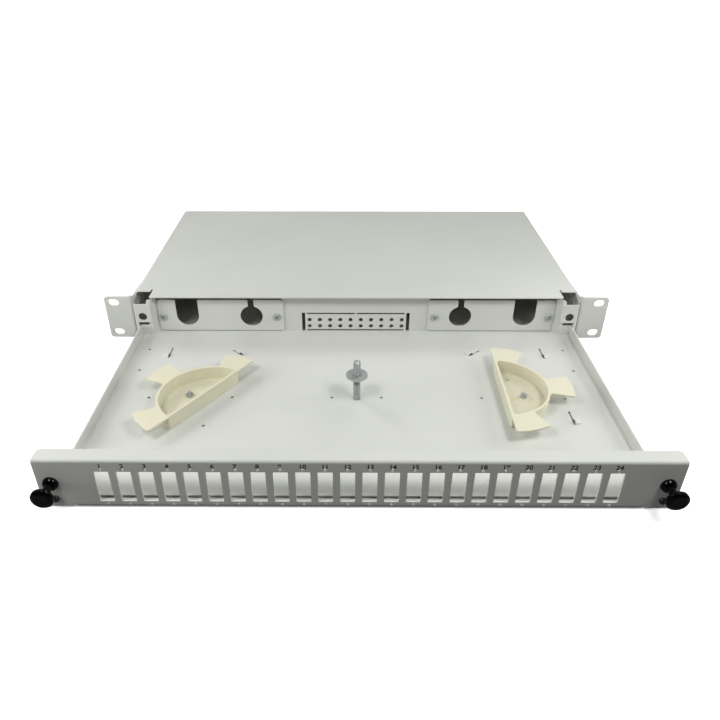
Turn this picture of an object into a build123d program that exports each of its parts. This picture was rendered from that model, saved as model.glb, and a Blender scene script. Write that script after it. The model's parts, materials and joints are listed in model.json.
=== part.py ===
from build123d import *
import math
import os

# A one unit rack panel for fibre connectors: a flat sleeve with rack ears, and a sheet metal
# drawer that slides out of it to the front. The drawer is modelled pulled out to its stop.
# All sizes are in millimetres. X runs across the rack, Y from the front to the back, Z up.
# The origin is the middle of the four rack slots, on the back faces of the ears.

# Rack
rack_width = 482.6
unit_height = 44.0
slot_edge_margin = 8.75
slot_spacing_z = 31.75
slot_length = 10.0
slot_width = 6.8
ear_thickness = 2.0
ear_bend_radius = 2.4
ear_corner_radius = 3.0
ear_leg_length = 40.0
ear_leg_step = 3.4
ear_leg_drop = 5.0
ear_seat_gap = 0.3

# Sleeve
ear_reach = 26.3
sleeve_depth = 238.0
sheet = 1.2
sleeve_bend_radius = 4.0
base_bend_radius = 2.0
base_flange_height = 18.0
notch_depth = 13.0
relief_width = 1.8
relief_length = 4.0

# Stop tabs, folded in from the sides of the sleeve
latch_inset = 8.25
latch_height = 0.6
tab_width = 17.0
tab_above_hole = 13.4
tab_below_hole = 6.1
tab_strip_drop = 9.5
tab_bend_radius = 1.8
tab_hole_radius = 4.0

# Drawer tray
tray_reach = 240.5
tray_side_gap = 1.6
tray_strip_gap = 0.6
tray_lift = 0.3
tray_bend_radius = 2.0
tray_side_height = 11.2
stop_gap = 0.3
wall_setback = 7.0
wall_headroom = 2.8
wall_low_headroom = 6.4
stop_strip_overlap = 4.0
stop_strip_width = 3.7
joggle_width = 4.0
wall_corner_radius = 2.5
floor_front_gap = 9.5

# Front panel
panel_sheet = 1.5
panel_side_overlap = 1.0
panel_bend_radius = 2.0
panel_headroom = 0.4
panel_top_flange = 12.0
panel_bottom_flange = 6.1
panel_flange_cutback = 20.0
panel_corner_radius = 3.0
lug_width = 12.0
port_count = 24
port_pitch = 14.9
port_width = 10.0
port_height = 26.6
port_drop = 2.4
port_screw_offset = 15.3
port_screw_radius = 1.1

# Cable entries in the back wall of the drawer
plate_side_gap = 1.2
plate_height = 33.4
plate_lift = 1.1
plate_inner_edge = 70.5
plate_corner_radius = 3.0
plate_screw_inner_margin = 6.8
plate_screw_outer_margin = 4.2
window_margin = 11.0
window_sill = 4.8
notch_radius = 10.85
notch_share = 0.231
notch_rise = 16.5
keyhole_radius = 10.85
keyhole_share = 0.259
keyhole_rise = 15.7
keyhole_slot_width = 5.8

# Cable tie field in the middle of the back wall
tie_columns = 10
tie_pitch = 10.1
tie_hole_radius = 2.0
tie_row_low = 5.3
tie_row_high = 12.3
tie_slot_width = 3.2
tie_slot_height = 20.0
tie_slit_width = 1.7
tie_bridge = 1.9
tie_margin = 5.9

# Tie-down slits and small holes in the floor of the drawer
slit_width = 1.1
slit_end_radius = 1.2
slit_length = 17.0
slit_from_side = 36.5
slit_back_y = -35.4
slit_front_y = -134.5
slant_slit_from_side = 99.7
slant_slit_y = -35.6
slant_slit_length = 14.0
slant_slit_angle = 42.0
louver_half_length = 3.5
louver_width = 5.0
louver_rise = 2.4
louver_end_margin = 2.3
floor_hole_radius = 1.3
side_holes = [(15.0, -30.0), (15.0, -65.5), (34.5, -108.0), (105.0, -107.2), (87.9, -146.2)]
middle_hole = (21.0, -107.2)

# Bend guides for the fibres
guide_radius = 41.6
guide_flat_offset = 2.5
guide_corner_radius = 1.5
guide_height = 13.0
guide_wall = 2.0
guide_floor = 1.5
guide_draft = 3.0
guide_pivot_from_side = 69.7
guide_pivot_y = -108.0
guide_pivot_offset = 19.4
guide_tab_reach = 61.0
guide_tab_angle = 27.5
guide_tip_radius = 2.0
guide_root_radius = 3.0
guide_slot_length = 4.2
guide_slot_width = 1.8
guide_slot_out = 10.4
guide_slot_along = 25.6
guide_tab_thickness = 1.6
guide_left_angle = 146.0
guide_right_angle = -0.8

# Fasteners
running_clearance = 0.05
hole_clearance = 0.15
m3_radius = 1.5
m3_nut_across = 5.5
m3_nut_height = 2.4
m4_radius = 2.0
m6_radius = 3.0
m3_head_radius = 2.75
m3_head_height = 1.9
m4_head_radius = 3.6
m4_head_height = 2.3
m6_nut_across = 10.0
m6_nut_height = 3.2
washer_radius = 9.0
washer_thickness = 1.6
washer_hole_radius = 3.2
guide_stud_height = 6.6
cassette_stud_y = -108.5
cassette_stud_height = 37.6
cassette_seat_height = 19.7
ear_screw_rise = 9.0
ear_screw_first = 12.0
ear_screw_step = 18.0
base_screw_rise = 9.0
base_screw_rows = [0.52, 0.92]
thread_past_sheet = 0.6
panel_screw_rise = 7.0

# Push-pull latches
grommet_collar_radius = 5.4
grommet_collar_height = 3.6
grommet_barrel_radius = 3.85
grommet_barrel_length = 17.0
grommet_slit_width = 1.0
grommet_root_length = 2.5
pin_radius = 2.75
latch_travel = 8.5
latch_closed_gap = 0.5
knob_radius = 7.6
knob_thickness = 4.5
pin_tip_margin = 4.0

# Places worked out from the sizes above
sleeve_width = rack_width - 2 * ear_reach
slot_spacing_x = rack_width - 2 * slot_edge_margin
panel_width = sleeve_width + 2 * panel_side_overlap
bottom_z = -unit_height / 2
top_z = unit_height / 2
cover_under_z = top_z - sheet
side_x = sleeve_width / 2
inner_x = side_x - sheet
tab_front_y = -ear_thickness
tab_back_y = tab_front_y + sheet
sleeve_back_y = tab_front_y + sleeve_depth
base_top_z = bottom_z + sheet
tray_bottom_z = base_top_z + tray_lift
floor_z = tray_bottom_z + sheet
tray_x = inner_x - sheet - tray_side_gap
tray_side_z = tray_bottom_z + tray_side_height
strip_front_y = tab_back_y + stop_gap
wall_front_y = strip_front_y + wall_setback
wall_back_y = wall_front_y + sheet
wall_top_z = cover_under_z - wall_headroom
wall_low_z = cover_under_z - wall_low_headroom
panel_front_y = wall_front_y - tray_reach
panel_back_y = panel_front_y + panel_sheet
panel_top_z = cover_under_z - panel_headroom
panel_bottom_z = tray_bottom_z
floor_front_y = panel_front_y + floor_front_gap
slit_side_x = tray_x - slit_from_side
slant_slit_x = tray_x - slant_slit_from_side
guide_pivot_x = tray_x - guide_pivot_from_side
latch_x = side_x - latch_inset
tab_inner_x = side_x - tab_width
tab_top_z = latch_height + tab_above_hole
tab_bottom_z = latch_height - tab_below_hole
ear_inner_x = side_x + ear_seat_gap
ear_outer_x = ear_inner_x + ear_thickness
strip_outer_x = tab_inner_x + stop_strip_overlap
strip_inner_x = strip_outer_x - stop_strip_width
wall_end_x = strip_inner_x - joggle_width
port_z = (panel_top_z + panel_bottom_z) / 2 - port_drop
plate_front_y = wall_front_y - sheet
plate_bottom_z = floor_z + plate_lift
plate_top_z = plate_bottom_z + plate_height
plate_outer_edge = wall_end_x - plate_side_gap
plate_width = plate_outer_edge - plate_inner_edge
plate_screw_z = plate_bottom_z + plate_height * 0.45


def block(x0, x1, y0, y1, z0, z1):
    """A box between two values on each axis."""
    centre = Pos((x0 + x1) / 2, (y0 + y1) / 2, (z0 + z1) / 2)
    return centre * Box(abs(x1 - x0), abs(y1 - y0), abs(z1 - z0))


def along_x(profile, x0, x1):
    """Extrude a Y-Z profile from x0 to x1."""
    return Pos(x0, 0, 0) * extrude(Plane.YZ * profile, amount=x1 - x0, dir=(1, 0, 0))


def along_y(profile, y0, y1):
    """Extrude an X-Z profile from y0 to y1."""
    return Pos(0, y0, 0) * extrude(Plane.XZ * profile, amount=y1 - y0, dir=(0, 1, 0))


def along_z(profile, z0, z1):
    """Extrude an X-Y profile from z0 to z1."""
    return Pos(0, 0, z0) * extrude(profile, amount=z1 - z0, dir=(0, 0, 1))


def folded(points, thickness, radius, side):
    """The section of a folded sheet: its outer face runs through the points."""
    with BuildSketch() as section:
        with BuildLine():
            FilletPolyline(*points, radius=radius)
            offset(amount=thickness, side=side)
        make_face()
    return section.sketch


def rod_y(x, z, radius, y0, y1):
    """A round rod along Y."""
    return Pos(x, 0, z) * along_y(Circle(radius), y0, y1)


def rod_x(y, z, radius, x0, x1):
    """A round rod along X."""
    return Pos(0, y, z) * along_x(Circle(radius), x0, x1)


def rod_z(x, y, radius, z0, z1):
    """A round rod along Z."""
    return Pos(x, y, 0) * along_z(Circle(radius), z0, z1)


def mirrored(shape):
    """The same shape on the other side of the middle."""
    return mirror(shape, about=Plane.YZ)


def both_sides(shape):
    """A right-hand shape together with its left-hand twin."""
    return shape + mirrored(shape)


def pan_screw(head_radius, head_height, shank_radius, shank_length):
    """A screw along Z: a domed head above z = 0, and a shank below it."""
    edge = head_height * 0.45
    crown = head_radius * 0.4
    with BuildSketch(Plane.XZ) as half:
        with BuildLine():
            Polyline((0, -shank_length), (shank_radius, -shank_length), (shank_radius, 0),
                     (head_radius, 0), (head_radius, edge))
            ThreePointArc((head_radius, edge), (head_radius * 0.78, head_height * 0.86), (crown, head_height))
            Polyline((crown, head_height), (0, head_height), (0, -shank_length))
        make_face()
    return revolve(half.sketch, axis=Axis.Z)


def hex_nut(across, height, bore_radius):
    """A hexagon nut with its lower face at z = 0 and its outer corners bevelled."""
    corner_radius = across / math.sqrt(3)
    bevel = (corner_radius - across / 2) * 0.55
    prism = extrude(RegularPolygon(corner_radius, 6), amount=height)
    turned = chamfer(extrude(Circle(corner_radius), amount=height).edges(), bevel)
    return (prism & turned) - extrude(Circle(bore_radius), amount=height)


def cover_shell():
    """The top and both sides of the sleeve; the top's front edge is flush with the stop tabs."""
    path = [(-side_x, bottom_z), (-side_x, top_z), (side_x, top_z), (side_x, bottom_z)]
    shell = along_y(folded(path, sheet, sleeve_bend_radius, Side.RIGHT), tab_front_y, sleeve_back_y)
    side_front_y = tab_front_y + tab_bend_radius
    side_cut = block(inner_x - 1, side_x + 1, tab_front_y - 1, side_front_y, bottom_z - 1, top_z + 1)
    return shell - both_sides(side_cut)


def cover_notches():
    """The cut-outs in the front corners of the top, with a relief slit at their inner ends."""
    notch_inner_x = tab_inner_x - 0.5
    notch_back_y = tab_front_y + notch_depth
    notch_low_z = top_z - sleeve_bend_radius - 0.5
    corner = block(notch_inner_x, side_x + 1, tab_front_y - 1, notch_back_y, notch_low_z, top_z + 1)
    slit = block(notch_inner_x, notch_inner_x + relief_width, notch_back_y - 1,
                 notch_back_y + relief_length, cover_under_z - 1, top_z + 1)
    return both_sides(corner + slit)


def stop_tab():
    """The right-hand tab that stops the drawer and takes its latch."""
    start = (side_x, tab_front_y + 2 * tab_bend_radius)
    corner = (side_x, tab_front_y)
    wide = folded([start, corner, (tab_inner_x, tab_front_y)], sheet, tab_bend_radius, Side.RIGHT)
    narrow_end = (tray_x + tray_strip_gap, tab_front_y)
    narrow = folded([start, corner, narrow_end], sheet, tab_bend_radius, Side.RIGHT)
    tab = along_z(wide, tab_bottom_z, tab_top_z)
    strip = along_z(narrow, tab_bottom_z - tab_strip_drop, tab_bottom_z)
    free_corners = tab.edges().filter_by(Axis.Y).group_by(Axis.X)[0]
    tab = fillet(free_corners, 1.0)
    hole = rod_y(latch_x, latch_height, tab_hole_radius, tab_front_y - 1, tab_back_y + 1)
    return (tab + strip) - hole


def ear_screw_places():
    """The four Y and Z places of the screws in one ear's leg."""
    rows = [ear_screw_first, ear_screw_first + ear_screw_step]
    return [(y, z) for y in rows for z in (-ear_screw_rise, ear_screw_rise)]


def base_screw_places():
    """The Y and Z places of the screws that hold the base in one side of the cover."""
    return [(tab_front_y + sleeve_depth * row, bottom_z + base_screw_rise) for row in base_screw_rows]


def make_top_cover():
    """The folded cover: top, sides, corner notches and stop tabs."""
    cover = cover_shell() - cover_notches()
    cover = cover + both_sides(stop_tab())
    for y, z in ear_screw_places():
        cover = cover - both_sides(rod_x(y, z, m4_radius, inner_x - 1, side_x + 1))
    for y, z in base_screw_places():
        cover = cover - both_sides(rod_x(y, z, m4_radius + hole_clearance, inner_x - 1, side_x + 1))
    return cover


def make_base_plate():
    """The bottom of the sleeve, with a low flange up each side."""
    flange_z = bottom_z + base_flange_height
    path = [(-inner_x, flange_z), (-inner_x, bottom_z), (inner_x, bottom_z), (inner_x, flange_z)]
    front_y = tab_front_y + 2 * tab_bend_radius
    base = along_y(folded(path, sheet, base_bend_radius, Side.LEFT), front_y, sleeve_back_y)
    apron = block(-tray_x, tray_x, tab_front_y, front_y + 1, bottom_z, base_top_z)
    base = base + apron
    for y, z in base_screw_places():
        base = base - both_sides(rod_x(y, z, m4_radius, inner_x - sheet - 1, inner_x + 1))
    for y, z in ear_screw_places():
        base = base - both_sides(rod_x(y, z, m4_radius + hole_clearance, inner_x - sheet - 1, inner_x + 1))
    return base


def ear_slot(z):
    """One rack slot through the right-hand ear."""
    slot = along_y(SlotOverall(slot_length, slot_width), -ear_thickness - 1, 1)
    return Pos(slot_spacing_x / 2, 0, z) * slot


def make_right_ear():
    """An angle: its leg, a little lower, lies on the sleeve's side, and its flange has the rack slots."""
    path = [(ear_inner_x, ear_leg_length), (ear_inner_x, -ear_thickness), (rack_width / 2, -ear_thickness)]
    section = folded(path, ear_thickness, ear_bend_radius, Side.LEFT)
    ear = along_z(section, bottom_z, top_z)
    corners = ear.edges().filter_by(Axis.Y).group_by(Axis.X)[-1]
    ear = fillet(corners, ear_corner_radius)
    step_y = ear_thickness
    wedge = along_x(Polygon((step_y, top_z + 1), (step_y, top_z), (step_y + ear_leg_step, top_z - ear_leg_step),
                            (ear_leg_length + 1, top_z - ear_leg_drop), (ear_leg_length + 1, top_z + 1), align=None),
                    ear_inner_x - 1, ear_outer_x + 1)
    ear = ear - wedge - mirror(wedge, about=Plane.XY)
    for z in (-slot_spacing_z / 2, slot_spacing_z / 2):
        ear = ear - ear_slot(z)
    for y, z in ear_screw_places():
        ear = ear - rod_x(y, z, m4_radius + hole_clearance, ear_inner_x - 1, ear_outer_x + 1)
    return ear


def side_screws(places, seat_x, length):
    """Pan head screws on the right-hand side, with their heads outside."""
    screw = pan_screw(m4_head_radius, m4_head_height, m4_radius, length)
    return Compound(children=[Pos(seat_x, y, z) * Rot(0, 90, 0) * screw for y, z in places])


def make_right_ear_screws():
    """The four screws through one ear's leg."""
    length = ear_outer_x - side_x + 2 * sheet + thread_past_sheet
    return side_screws(ear_screw_places(), ear_outer_x, length)


def make_base_screws():
    """The screws that hold the base between the cover's sides, on both sides."""
    right = side_screws(base_screw_places(), side_x, 2 * sheet + thread_past_sheet)
    return Compound(children=list(right.solids()) + list(mirrored(right).solids()))


def back_wall():
    """The drawer's back wall, set back in the middle, with a stop strip at each end."""
    path = [(-strip_outer_x, strip_front_y), (-strip_inner_x, strip_front_y), (-wall_end_x, wall_front_y),
            (wall_end_x, wall_front_y), (strip_inner_x, strip_front_y), (strip_outer_x, strip_front_y)]
    wall = along_z(folded(path, sheet, sheet + 0.4, Side.LEFT), tray_bottom_z, wall_top_z)
    ends = wall.edges().filter_by(Axis.Y).group_by(Axis.Z)[-1]
    return fillet(ends, wall_corner_radius)


def tray_shell():
    """The drawer's floor with its low sides, and the floor's set-back under the back wall."""
    path = [(-tray_x, tray_side_z), (-tray_x, tray_bottom_z), (tray_x, tray_bottom_z), (tray_x, tray_side_z)]
    section = folded(path, sheet, tray_bend_radius, Side.LEFT)
    shell = along_y(section, floor_front_y, strip_front_y + sheet)
    tongue = Polygon((-strip_inner_x, strip_front_y), (-wall_end_x, wall_back_y), (wall_end_x, wall_back_y),
                     (strip_inner_x, strip_front_y), align=None)
    gusset = block(strip_inner_x, tray_x - sheet, strip_front_y, strip_front_y + sheet,
                   tray_bottom_z + sheet / 2, tray_side_z)
    return shell + along_z(tongue, tray_bottom_z, floor_z) + both_sides(gusset)


def panel_lug():
    """The right-hand lug: the tray's side carried forward and folded in behind the panel."""
    path = [(tray_x, floor_front_y + sheet), (tray_x, panel_back_y), (tray_x - lug_width, panel_back_y)]
    lug = folded(path, sheet, tray_bend_radius, Side.RIGHT)
    return along_z(lug, panel_bottom_z + panel_bend_radius + 0.2, tray_side_z)


def window(x0, x1):
    """An opening in the back wall behind one cable plate, open at the top, where the wall is lower too."""
    low_z = plate_bottom_z + window_sill
    frame = block(x0, x1, wall_front_y - 1, wall_back_y + 1, low_z, wall_top_z + 1)
    frame = fillet(frame.edges().filter_by(Axis.Y).group_by(Axis.Z)[0], plate_corner_radius)
    lowered = block(plate_inner_edge + sheet, wall_end_x, wall_front_y - 1, wall_back_y + 1, wall_low_z, wall_top_z + 1)
    return frame + lowered


def tie_cuts():
    """Holes, slots and slits for cable ties in the middle of the back wall."""
    y0 = wall_front_y - 1
    y1 = wall_back_y + 1
    cuts = []
    half = tie_pitch * (tie_columns - 1) / 2
    for row in (tie_row_low, tie_row_high):
        for column in range(tie_columns):
            x = column * tie_pitch - half
            cuts.append(rod_y(x, floor_z + row, tie_hole_radius, y0, y1))
    slot_x = half + tie_margin
    slot = block(slot_x - tie_slot_width / 2, slot_x + tie_slot_width / 2, y0, y1, floor_z, floor_z + tie_slot_height)
    slit_end = slot_x - tie_slot_width / 2 - tie_bridge
    high = floor_z + tie_slot_height - tie_slit_width
    upper = block(tie_bridge / 2, slit_end, y0, y1, high, high + tie_slit_width)
    lower = block(-slit_end, slit_end, y0, y1, floor_z, floor_z + tie_slit_width)
    cuts += [slot, mirrored(slot), upper, mirrored(upper), lower]
    return cuts


def floor_slit(x, y, length, turn):
    """One straight tie-down slit through the floor, with a small round hole at its far end."""
    plan = SlotOverall(length, slit_width) + Pos(length / 2 - slit_end_radius, 0) * Circle(slit_end_radius)
    cut = along_z(plan, tray_bottom_z - 1, floor_z + 1)
    return Pos(x, y, 0) * Rot(0, 0, turn) * cut


def louver_form(length, side, base_z):
    """Half of an oval dome at the near end of a slit that runs along X, on its +Y or its -Y side."""
    dome = scale(Sphere(1), by=(louver_half_length, louver_width, louver_rise))
    keep = block(-louver_half_length, louver_half_length, 0, side * louver_width, 0, louver_rise)
    return Pos(louver_end_margin - length / 2, side * slit_width / 2, base_z) * (dome & keep)


def slit_places():
    """Each slit of the right half of the floor: X, Y, length, turn, and the side its louver is on."""
    return [(slit_side_x, slit_back_y, slit_length, 90, -1),
            (slit_side_x, slit_front_y, slit_length, 90, -1),
            (slant_slit_x, slant_slit_y, slant_slit_length, slant_slit_angle, 1)]


def louvers(base_z):
    """The domes pressed up beside the slits of the right half, standing on a given height."""
    return [Pos(x, y, 0) * Rot(0, 0, turn) * louver_form(length, side, base_z)
            for x, y, length, turn, side in slit_places()]


def floor_cuts():
    """The slits and small holes of the right half of the floor."""
    cuts = [floor_slit(x, y, length, turn) for x, y, length, turn, side in slit_places()]
    places = [(tray_x - from_side, y) for from_side, y in side_holes] + [middle_hole]
    for x, y in places:
        cuts.append(rod_z(x, y, floor_hole_radius, tray_bottom_z - 1, floor_z + 1))
    return cuts


def make_drawer_tray():
    """The drawer's floor, low sides, back wall and front lugs, cut from one sheet."""
    tray = tray_shell() + back_wall() + both_sides(panel_lug())
    for dome in louvers(floor_z):
        tray = tray + both_sides(dome)
    for hollow in louvers(tray_bottom_z):
        tray = tray - both_sides(hollow)
    opening = window(plate_inner_edge + window_margin, plate_outer_edge - window_margin)
    tray = tray - both_sides(opening)
    for cut in tie_cuts():
        tray = tray - cut
    for cut in floor_cuts():
        tray = tray - both_sides(cut)
    for x in plate_screw_xs():
        hole = rod_y(x, plate_screw_z, m3_radius, wall_front_y - 1, wall_back_y + 1)
        tray = tray - both_sides(hole)
    lug_hole = rod_y(latch_x, panel_screw_z(), m3_radius, panel_back_y - 1, panel_back_y + sheet + 1)
    tray = tray - both_sides(lug_hole)
    tray = tray - both_sides(rod_z(guide_pivot_x, guide_pivot_y, m3_radius, tray_bottom_z - 1, floor_z + 1))
    return tray - rod_z(0, cassette_stud_y, m6_radius, tray_bottom_z - 1, floor_z + 1)


def plate_screw_xs():
    """The two X places of the screws in the right-hand cable plate."""
    return [plate_inner_edge + plate_screw_inner_margin, plate_outer_edge - plate_screw_outer_margin]


def panel_screw_z():
    """The height of the screws that hold the panel to the tray's lugs."""
    return panel_bottom_z + panel_screw_rise


def make_cable_plate():
    """The right-hand cable plate, with an open notch and a keyhole for cable glands."""
    centre_x = (plate_inner_edge + plate_outer_edge) / 2
    centre_z = (plate_bottom_z + plate_top_z) / 2
    outline = Pos(centre_x, centre_z) * RectangleRounded(plate_width, plate_height, plate_corner_radius)
    notch_x = plate_outer_edge - notch_share * plate_width
    notch_z = plate_bottom_z + notch_rise
    notch = Pos(notch_x, notch_z) * Circle(notch_radius)
    notch = notch + Pos(notch_x, notch_z + plate_height / 2) * Rectangle(2 * notch_radius, plate_height)
    key_x = plate_inner_edge + keyhole_share * plate_width
    key_z = plate_bottom_z + keyhole_rise
    keyhole = Pos(key_x, key_z) * Circle(keyhole_radius)
    keyhole = keyhole + Pos(key_x, key_z + plate_height / 2) * Rectangle(keyhole_slot_width, plate_height)
    outline = outline - notch - keyhole
    for x in plate_screw_xs():
        outline = outline - Pos(x, plate_screw_z) * Circle(m3_radius + hole_clearance)
    return along_y(outline, plate_front_y, wall_front_y)


def make_cable_plate_screws():
    """The two screws of the right-hand cable plate, with their heads to the front."""
    screw = pan_screw(m4_head_radius, m3_head_height, m3_radius, 2 * sheet + thread_past_sheet)
    places = [Pos(x, plate_front_y, plate_screw_z) * Rot(90, 0, 0) for x in plate_screw_xs()]
    return Compound(children=[place * screw for place in places])


def port_places():
    """The X places of the connector cut-outs."""
    half = port_pitch * (port_count - 1) / 2
    return [column * port_pitch - half for column in range(port_count)]


def make_front_panel():
    """The folded front panel with a row of connector cut-outs and two latch holes."""
    path = [(panel_front_y + panel_top_flange, panel_top_z), (panel_front_y, panel_top_z),
            (panel_front_y, panel_bottom_z), (panel_front_y + panel_bottom_flange, panel_bottom_z)]
    half = panel_width / 2
    flange_end = half - panel_flange_cutback
    panel = along_x(folded(path, panel_sheet, panel_bend_radius, Side.LEFT), -flange_end, flange_end)
    panel = panel + both_sides(along_x(folded(path[:3], panel_sheet, panel_bend_radius, Side.LEFT), flange_end, half))
    rear_corners = panel.edges().filter_by(Axis.Z).group_by(Axis.Y)[-1]
    panel = fillet(rear_corners, panel_corner_radius)
    y0 = panel_front_y - 1
    y1 = panel_back_y + 1
    face = Sketch()
    for x in port_places():
        face = face + Pos(x, port_z) * Rectangle(port_width, port_height)
        for side in (-port_screw_offset, port_screw_offset):
            face = face + Pos(x, port_z + side) * Circle(port_screw_radius)
    panel = panel - along_y(face, y0, y1)
    latch_hole = rod_y(latch_x, latch_height, grommet_barrel_radius, y0, y1)
    screw_hole = rod_y(latch_x, panel_screw_z(), m3_radius + hole_clearance, y0, y1)
    return panel - both_sides(latch_hole) - both_sides(screw_hole)


def make_panel_screws():
    """The two dark screws that hold the panel to the tray's lugs."""
    screw = pan_screw(m3_head_radius, m3_head_height, m3_radius, panel_sheet + sheet + thread_past_sheet)
    right = Pos(latch_x, panel_front_y, panel_screw_z()) * Rot(90, 0, 0) * screw
    return Compound(children=[right, mirrored(right)])


def guide_outline(shrink):
    """The plan of a bend guide, nearly half a disc, drawn in by a distance all round."""
    disc = Circle(guide_radius - shrink)
    keep = Pos(guide_flat_offset + shrink + guide_radius, 0) * Rectangle(2 * guide_radius, 2 * guide_radius)
    plan = disc & keep
    return fillet(plan.vertices(), guide_corner_radius)


def guide_tab(middle_angle):
    """The plan of one fanned tab, centred at an angle from the guide's middle line."""
    reach = 2 * guide_tab_reach
    half = guide_tab_angle / 2
    low = math.radians(middle_angle - half)
    high = math.radians(middle_angle + half)
    wedge = Polygon((0, 0), (reach * math.cos(low), reach * math.sin(low)),
                    (reach * math.cos(high), reach * math.sin(high)), align=None)
    keep = Pos(guide_flat_offset + reach, 0) * Rectangle(2 * reach, 2 * reach)
    return wedge & Circle(guide_tab_reach) & keep


def guide_rim():
    """The plan of the rim and its three tabs, with rounded tips and roots."""
    end_angle = math.degrees(math.acos(guide_flat_offset / guide_tab_reach)) - guide_tab_angle / 2
    plan = guide_outline(0) + guide_tab(0) + guide_tab(end_angle) + guide_tab(-end_angle)
    tips = [v for v in plan.vertices() if math.hypot(v.X, v.Y) > guide_tab_reach - 1]
    plan = fillet(tips, guide_tip_radius)
    roots = [v for v in plan.vertices() if abs(math.hypot(v.X, v.Y) - guide_radius) < 0.1]
    roots = [v for v in roots if v.X > guide_flat_offset + guide_root_radius]
    return fillet(roots, guide_root_radius)


def make_guide_body():
    """A moulded bend guide: a half-round tray with drafted walls and three flat tabs."""
    inset = guide_height * math.tan(math.radians(guide_draft))
    outer = extrude(guide_outline(inset), amount=guide_height, taper=-guide_draft)
    inner_height = guide_height - guide_floor
    inner = extrude(guide_outline(inset + guide_wall), amount=inner_height, taper=-guide_draft)
    tray = outer - Pos(0, 0, guide_floor) * inner
    plan = guide_rim() - guide_outline(guide_wall)
    tabs = along_z(plan, guide_height - guide_tab_thickness, guide_height)
    body = tray + tabs
    pivot_x = guide_flat_offset + guide_pivot_offset
    pivot_hole = Pos(pivot_x, 0, 0) * extrude(Circle(m3_radius + running_clearance), amount=guide_floor)
    slot_place = Pos(guide_flat_offset + guide_slot_out, guide_slot_along, 0)
    slot = slot_place * extrude(SlotOverall(guide_slot_length, guide_slot_width), amount=guide_floor)
    return Pos(-pivot_x, 0, 0) * (body - pivot_hole - slot)


def guide_place(side, turn):
    """The place of a guide's pivot on the floor, turned about the upright axis."""
    return Pos(side * guide_pivot_x, guide_pivot_y, floor_z) * Rot(0, 0, turn)


def make_guide_stud(side):
    """The threaded stud that carries one bend guide."""
    stud = rod_z(0, 0, m3_radius, tray_bottom_z, floor_z + guide_stud_height)
    stud = chamfer(stud.edges().group_by(Axis.Z)[-1], 0.4)
    return Pos(side * guide_pivot_x, guide_pivot_y, 0) * stud


def make_guide_nut(side):
    """The nut that clamps one bend guide to the floor."""
    nut = hex_nut(m3_nut_across, m3_nut_height, m3_radius)
    return Pos(side * guide_pivot_x, guide_pivot_y, floor_z + guide_floor + running_clearance) * Rot(0, 0, 12) * nut


def make_cassette_stud():
    """The tall threaded stud in the middle of the floor."""
    stud = rod_z(0, cassette_stud_y, m6_radius, tray_bottom_z, floor_z + cassette_stud_height)
    return chamfer(stud.edges().group_by(Axis.Z)[-1], 0.6)


def make_cassette_nut():
    """The flat nut that can be screwed up and down the tall stud."""
    nut = hex_nut(m6_nut_across, m6_nut_height, m6_radius + running_clearance)
    return Pos(0, cassette_stud_y, floor_z + cassette_seat_height) * nut


def make_cassette_washer():
    """The wide washer on the nut, which a splice cassette rests on."""
    ring = Circle(washer_radius) - Circle(washer_hole_radius)
    low_z = floor_z + cassette_seat_height + m6_nut_height
    return Pos(0, cassette_stud_y, low_z) * extrude(ring, amount=washer_thickness)


def make_grommet():
    """The right-hand latch's grommet: a domed collar, and a barrel split into four legs."""
    bore = pin_radius + running_clearance
    with BuildSketch(Plane.XY) as half:
        with BuildLine():
            Polyline((bore, -grommet_collar_height), (bore, grommet_barrel_length),
                     (grommet_barrel_radius - 0.4, grommet_barrel_length),
                     (grommet_barrel_radius, grommet_barrel_length - 1.2), (grommet_barrel_radius, 0),
                     (grommet_collar_radius, 0), (grommet_collar_radius, -0.9))
            ThreePointArc((grommet_collar_radius, -0.9), (grommet_collar_radius * 0.87, -grommet_collar_height * 0.72),
                          (bore + 0.9, -grommet_collar_height))
            Line((bore + 0.9, -grommet_collar_height), (bore, -grommet_collar_height))
        make_face()
    body = revolve(half.sketch, axis=Axis.Y)
    wide = 2 * grommet_barrel_radius + 1
    slit_start = panel_sheet + grommet_root_length
    half_slit = grommet_slit_width / 2
    for turn in (45, 135):
        slit = block(-wide / 2, wide / 2, slit_start, grommet_barrel_length + 1, -half_slit, half_slit)
        body = body - Rot(0, turn, 0) * slit
    return Pos(latch_x, panel_front_y, latch_height) * body


def make_plunger():
    """The right-hand latch's plunger, pulled out: a round pin with a flat knob."""
    knob_back = -(grommet_collar_height + latch_closed_gap + latch_travel)
    knob_front = knob_back - knob_thickness
    tip = grommet_barrel_length - pin_tip_margin - latch_travel / 2
    crown = knob_radius * 0.4
    with BuildSketch(Plane.XY) as half:
        with BuildLine():
            Polyline((0, tip), (pin_radius - 0.8, tip), (pin_radius, tip - 1.2), (pin_radius, knob_back + 0.3),
                     (pin_radius + 0.3, knob_back), (knob_radius - 0.9, knob_back), (knob_radius, knob_back - 0.9),
                     (knob_radius, knob_front + 1.6))
            ThreePointArc((knob_radius, knob_front + 1.6), (knob_radius * 0.82, knob_front + 0.45), (crown, knob_front))
            Polyline((crown, knob_front), (0, knob_front), (0, tip))
        make_face()
    return Pos(latch_x, panel_front_y, latch_height) * revolve(half.sketch, axis=Axis.Y)


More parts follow.
